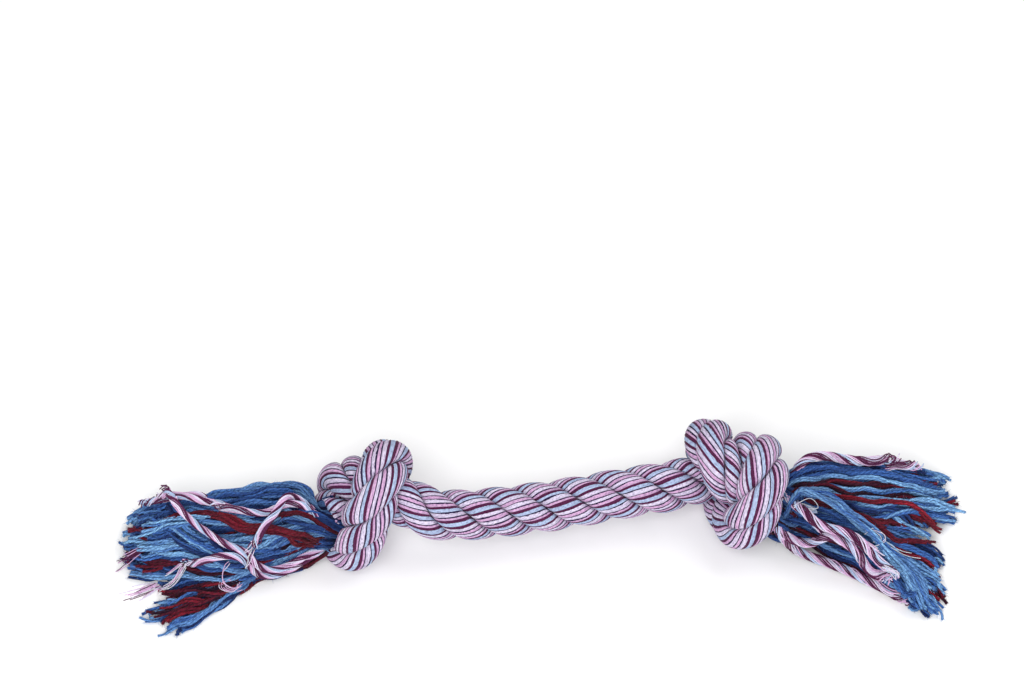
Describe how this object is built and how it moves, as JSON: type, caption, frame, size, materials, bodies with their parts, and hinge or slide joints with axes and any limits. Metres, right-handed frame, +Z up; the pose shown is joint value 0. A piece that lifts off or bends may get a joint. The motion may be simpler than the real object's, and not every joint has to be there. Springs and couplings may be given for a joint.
{
  "type": "rope dog toy",
  "caption": "Laid cotton rope tug toy with an overhand knot near each end and both ends unlaid into yarn tassels.",
  "frame": {"origin": "middle of the toy's box, on the ground it lies on", "axes": "+X along the rope from the left knot to the right knot, +Z up, -Y towards the viewer"},
  "size_m": [0.3738, 0.0958, 0.0565],
  "materials": {
    "striped_strand": "soft cotton yarn",
    "knot_strand": "soft cotton yarn",
    "blue_yarn": "soft cotton yarn",
    "maroon_yarn": "soft cotton yarn",
    "cover_cord": "soft cotton yarn"
  },
  "bodies": {
    "rope_middle": {"middle_strand_1": "striped_strand", "middle_strand_2": "striped_strand", "middle_strand_3": "striped_strand"},
    "left_knot": {"left_knot_strand_1": "knot_strand", "left_knot_strand_2": "knot_strand", "left_knot_strand_3": "knot_strand"},
    "right_knot": {"right_knot_strand_1": "knot_strand", "right_knot_strand_2": "knot_strand", "right_knot_strand_3": "knot_strand"},
    "left_near_bunch": {"left_near_blue_yarns_1": "blue_yarn", "left_near_blue_yarns_2": "blue_yarn", "left_near_maroon_yarns": "maroon_yarn", "left_near_cover_cord_1": "cover_cord", "left_near_cover_cord_2": "cover_cord"},
    "left_top_bunch": {"left_top_blue_yarns_1": "blue_yarn", "left_top_blue_yarns_2": "blue_yarn", "left_top_maroon_yarns": "maroon_yarn", "left_top_cover_cord_1": "cover_cord", "left_top_cover_cord_2": "cover_cord"},
    "left_far_bunch": {"left_far_blue_yarns_1": "blue_yarn", "left_far_blue_yarns_2": "blue_yarn", "left_far_maroon_yarns": "maroon_yarn", "left_far_cover_cord_1": "cover_cord", "left_far_cover_cord_2": "cover_cord"},
    "right_near_bunch": {"right_near_blue_yarns_1": "blue_yarn", "right_near_blue_yarns_2": "blue_yarn", "right_near_maroon_yarns": "maroon_yarn", "right_near_cover_cord_1": "cover_cord", "right_near_cover_cord_2": "cover_cord"},
    "right_top_bunch": {"right_top_blue_yarns_1": "blue_yarn", "right_top_blue_yarns_2": "blue_yarn", "right_top_maroon_yarns": "maroon_yarn", "right_top_cover_cord_1": "cover_cord", "right_top_cover_cord_2": "cover_cord"},
    "right_far_bunch": {"right_far_blue_yarns_1": "blue_yarn", "right_far_blue_yarns_2": "blue_yarn", "right_far_maroon_yarns": "maroon_yarn", "right_far_cover_cord_1": "cover_cord", "right_far_cover_cord_2": "cover_cord"}
  },
  "joints": [
    {"name": "left_rope_bend", "type": "hinge", "parent": "rope_middle", "child": "left_knot", "pos_m": [-0.03609, 0.00855, 0.02528], "axis": [0, 0, 1], "range_deg": [-30, 30], "deforming": ["middle_strand_1", "middle_strand_2", "middle_strand_3"]},
    {"name": "right_rope_bend", "type": "hinge", "parent": "rope_middle", "child": "right_knot", "pos_m": [0.04441, 0.01599, 0.02395], "axis": [0, 0, 1], "range_deg": [-30, 30], "deforming": ["middle_strand_1", "middle_strand_2", "middle_strand_3"]},
    {"name": "left_near_swing", "type": "hinge", "parent": "left_knot", "child": "left_near_bunch", "pos_m": [-0.09541, -0.00156, 0.021], "axis": [0, 0, 1], "range_deg": [0, 15]},
    {"name": "left_top_lift", "type": "hinge", "parent": "left_knot", "child": "left_top_bunch", "pos_m": [-0.09949, 0.00921, 0.03249], "axis": [-0.3183, 0.948, 0], "range_deg": [0, 25]},
    {"name": "left_far_swing", "type": "hinge", "parent": "left_knot", "child": "left_far_bunch", "pos_m": [-0.10273, 0.02025, 0.021], "axis": [0, 0, -1], "range_deg": [0, 15]},
    {"name": "right_near_swing", "type": "hinge", "parent": "right_knot", "child": "right_near_bunch", "pos_m": [0.10628, -0.00722, 0.01841], "axis": [0, 0, -1], "range_deg": [0, 15]},
    {"name": "right_top_lift", "type": "hinge", "parent": "right_knot", "child": "right_top_bunch", "pos_m": [0.11279, 0.00136, 0.02865], "axis": [-0.1394, -0.9902, 0], "range_deg": [0, 25]},
    {"name": "right_far_swing", "type": "hinge", "parent": "right_knot", "child": "right_far_bunch", "pos_m": [0.1092, 0.01348, 0.01841], "axis": [0, 0, 1], "range_deg": [0, 15]}
  ]
}
